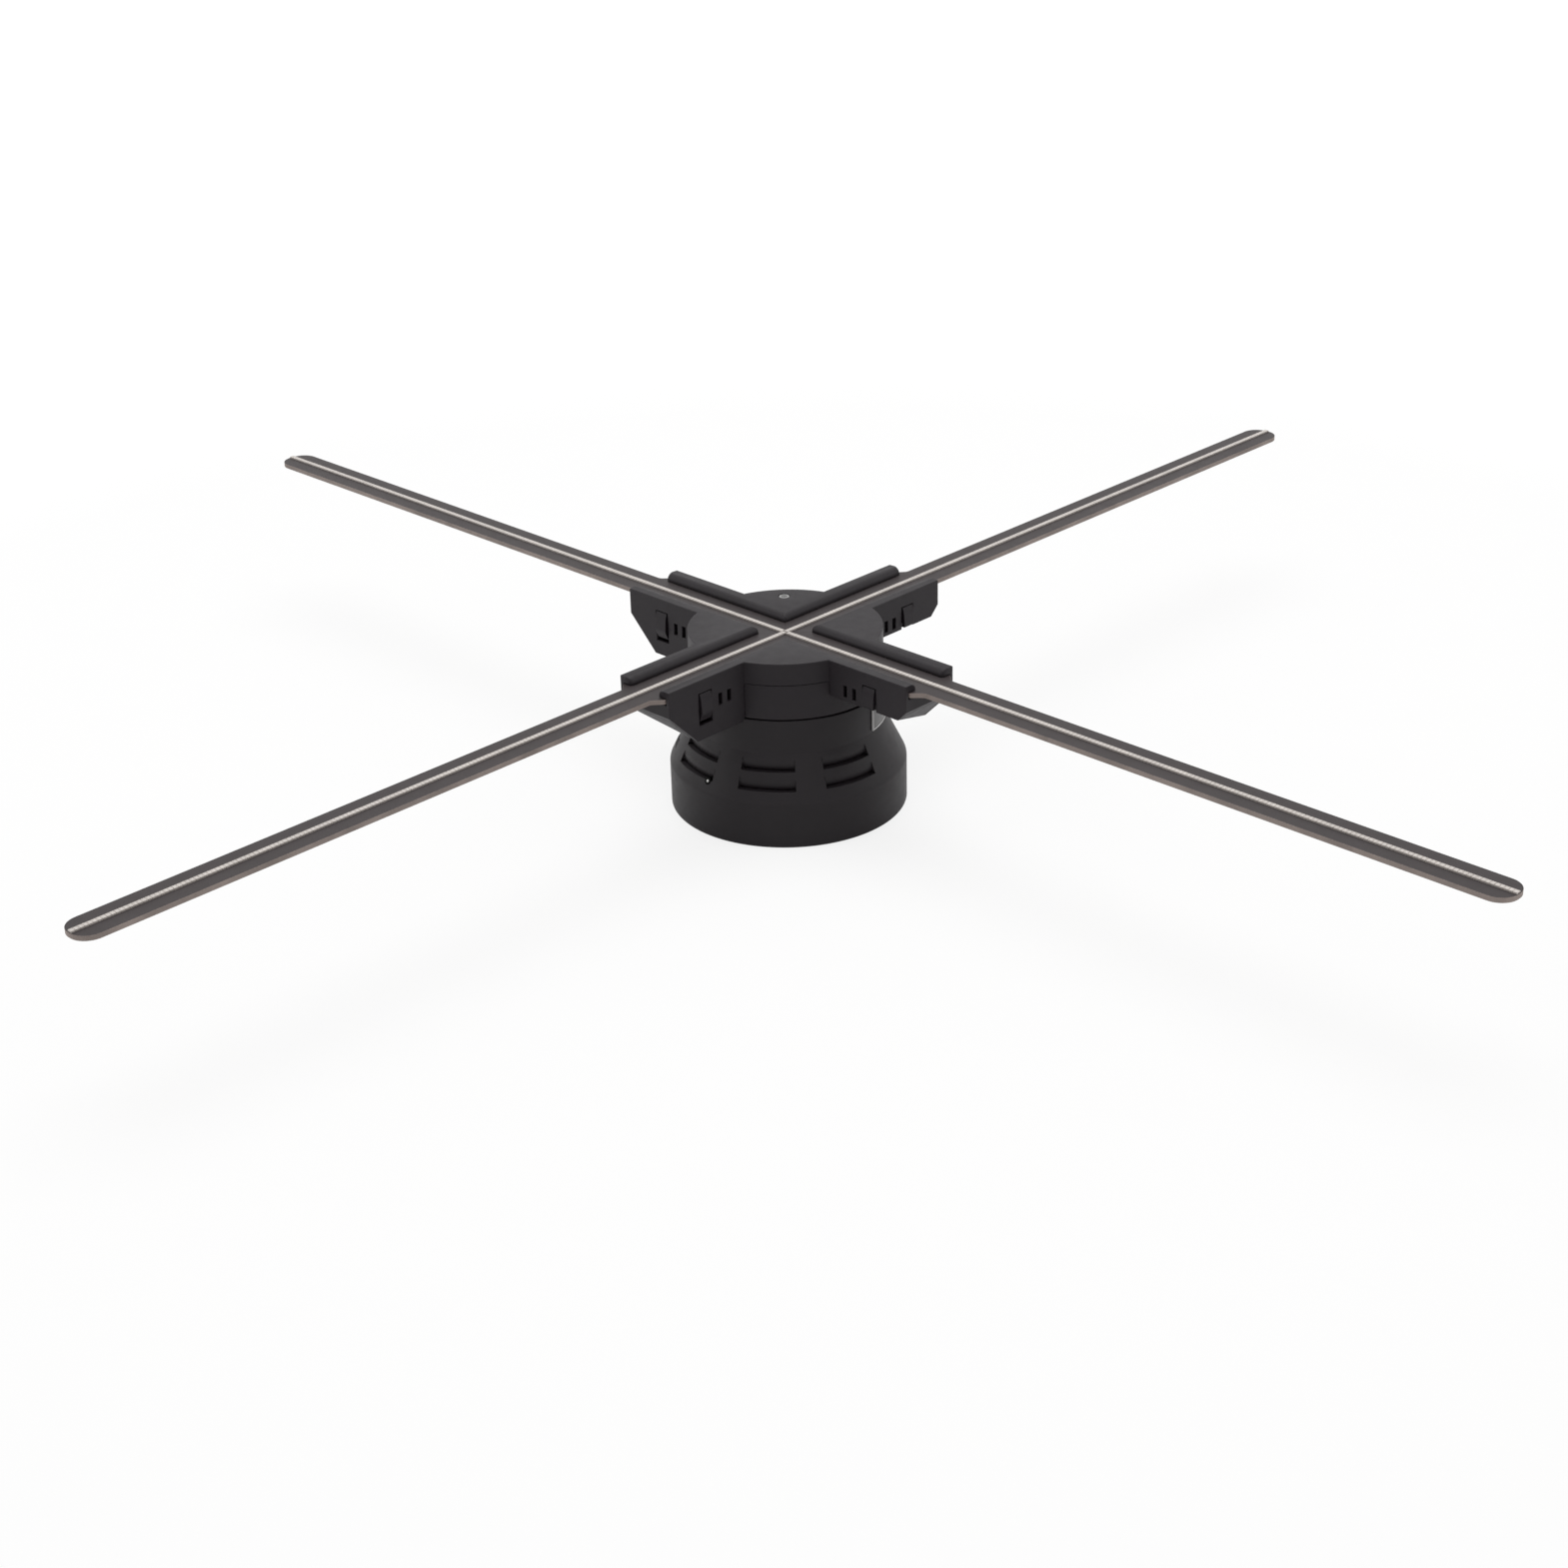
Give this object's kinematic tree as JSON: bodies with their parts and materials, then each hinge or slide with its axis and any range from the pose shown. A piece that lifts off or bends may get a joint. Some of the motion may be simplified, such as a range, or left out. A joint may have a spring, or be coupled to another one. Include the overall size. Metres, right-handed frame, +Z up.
{
  "type": "led_display_fan",
  "caption": "LED persistence-of-vision display fan lying on its back: vented round base, cross-shaped spinning hub and slim plug-in LED blades",
  "frame": {"origin": "centre of the flat underside of the base, on the spin axis", "axes": "+Z up along the spin axis, -Y front (the side the picture is taken from), +X right; blades at 45, 135, 225 and 315 degrees"},
  "size_m": [0.467, 0.467, 0.0742],
  "materials": {
    "housing_plastic": "fine moulded texture",
    "hub_plastic": "fine moulded texture",
    "latch_plastic": "fine moulded texture",
    "board_lacquer": "matte lacquer over fibreglass",
    "led_cream": "cream LED packages",
    "lamp_clear": "frosted clear",
    "blank_plate": "satin film",
    "inlet_plastic": "smooth moulded",
    "circuit_board": "lacquered fibreglass",
    "motor_aluminium": "turned",
    "bearing_steel": "ground",
    "core_steel": "stacked laminations",
    "copper_wire": "enamelled copper",
    "magnet_grey": "bonded magnet",
    "screw_steel": "black zinc"
  },
  "bodies": {
    "base": {"base_housing": "housing_plastic", "base_plate": "housing_plastic", "base_screw_1": "screw_steel", "base_screw_2": "screw_steel", "base_screw_3": "screw_steel", "base_screw_4": "screw_steel", "status_lamp": "lamp_clear", "neck_plate": "blank_plate", "power_inlet": "inlet_plastic", "driver_board": "circuit_board", "motor_mount": "motor_aluminium", "lower_bearing": "bearing_steel", "upper_bearing": "bearing_steel", "stator_core": "core_steel", "stator_coil_1": "copper_wire", "stator_coil_2": "copper_wire", "stator_coil_3": "copper_wire", "stator_coil_4": "copper_wire", "stator_coil_5": "copper_wire", "stator_coil_6": "copper_wire", "transmit_coil": "copper_wire"},
    "rotor": {"hub_cover": "hub_plastic", "arm_underside_1": "hub_plastic", "arm_underside_2": "hub_plastic", "arm_underside_3": "hub_plastic", "arm_underside_4": "hub_plastic", "hub_shell": "hub_plastic", "hub_lens": "lamp_clear", "main_board": "circuit_board", "receive_coil": "copper_wire", "contact_block_1": "inlet_plastic", "contact_block_2": "inlet_plastic", "contact_block_3": "inlet_plastic", "contact_block_4": "inlet_plastic", "drive_flange": "motor_aluminium", "rotor_bell": "motor_aluminium", "magnet_ring": "magnet_grey", "spindle": "bearing_steel", "spindle_clip": "screw_steel", "spindle_nut": "screw_steel"},
    "blade_1": {"blade_board_1": "board_lacquer", "led_row_1": "led_cream"},
    "blade_2": {"blade_board_2": "board_lacquer", "led_row_2": "led_cream"},
    "blade_3": {"blade_board_3": "board_lacquer", "led_row_3": "led_cream"},
    "blade_4": {"blade_board_4": "board_lacquer", "led_row_4": "led_cream"},
    "latch_1a": {"blade_latch_1a": "latch_plastic"},
    "latch_1b": {"blade_latch_1b": "latch_plastic"},
    "latch_2a": {"blade_latch_2a": "latch_plastic"},
    "latch_2b": {"blade_latch_2b": "latch_plastic"},
    "latch_3a": {"blade_latch_3a": "latch_plastic"},
    "latch_3b": {"blade_latch_3b": "latch_plastic"},
    "latch_4a": {"blade_latch_4a": "latch_plastic"},
    "latch_4b": {"blade_latch_4b": "latch_plastic"}
  },
  "joints": [
    {"name": "rotor_spin", "type": "hinge", "parent": "base", "child": "rotor", "pos_m": [0, 0, 0.0508], "axis": [0, 0, 1], "continuous": true},
    {"name": "blade_1_slide", "type": "slide", "parent": "rotor", "child": "blade_1", "axis": [0.7071, 0.7071, 0], "range_m": [0, 0.034]},
    {"name": "blade_2_slide", "type": "slide", "parent": "rotor", "child": "blade_2", "axis": [-0.7071, 0.7071, 0], "range_m": [0, 0.034]},
    {"name": "blade_3_slide", "type": "slide", "parent": "rotor", "child": "blade_3", "axis": [-0.7071, -0.7071, 0], "range_m": [0, 0.034]},
    {"name": "blade_4_slide", "type": "slide", "parent": "rotor", "child": "blade_4", "axis": [0.7071, -0.7071, 0], "range_m": [0, 0.034]},
    {"name": "latch_1a_press", "type": "hinge", "parent": "rotor", "child": "latch_1a", "pos_m": [0.03097, 0.04992, 0.0685], "axis": [-0.7071, -0.7071, 0], "range_deg": [0, 6], "stiffness_Nm_per_rad": 0.06},
    {"name": "latch_1b_press", "type": "hinge", "parent": "rotor", "child": "latch_1b", "pos_m": [0.04992, 0.03097, 0.0685], "axis": [0.7071, 0.7071, 0], "range_deg": [0, 6], "stiffness_Nm_per_rad": 0.06},
    {"name": "latch_2a_press", "type": "hinge", "parent": "rotor", "child": "latch_2a", "pos_m": [-0.04992, 0.03097, 0.0685], "axis": [0.7071, -0.7071, 0], "range_deg": [0, 6], "stiffness_Nm_per_rad": 0.06},
    {"name": "latch_2b_press", "type": "hinge", "parent": "rotor", "child": "latch_2b", "pos_m": [-0.03097, 0.04992, 0.0685], "axis": [-0.7071, 0.7071, 0], "range_deg": [0, 6], "stiffness_Nm_per_rad": 0.06},
    {"name": "latch_3a_press", "type": "hinge", "parent": "rotor", "child": "latch_3a", "pos_m": [-0.03097, -0.04992, 0.0685], "axis": [0.7071, 0.7071, 0], "range_deg": [0, 6], "stiffness_Nm_per_rad": 0.06},
    {"name": "latch_3b_press", "type": "hinge", "parent": "rotor", "child": "latch_3b", "pos_m": [-0.04992, -0.03097, 0.0685], "axis": [-0.7071, -0.7071, 0], "range_deg": [0, 6], "stiffness_Nm_per_rad": 0.06},
    {"name": "latch_4a_press", "type": "hinge", "parent": "rotor", "child": "latch_4a", "pos_m": [0.04992, -0.03097, 0.0685], "axis": [-0.7071, 0.7071, 0], "range_deg": [0, 6], "stiffness_Nm_per_rad": 0.06},
    {"name": "latch_4b_press", "type": "hinge", "parent": "rotor", "child": "latch_4b", "pos_m": [0.03097, -0.04992, 0.0685], "axis": [0.7071, -0.7071, 0], "range_deg": [0, 6], "stiffness_Nm_per_rad": 0.06}
  ]
}
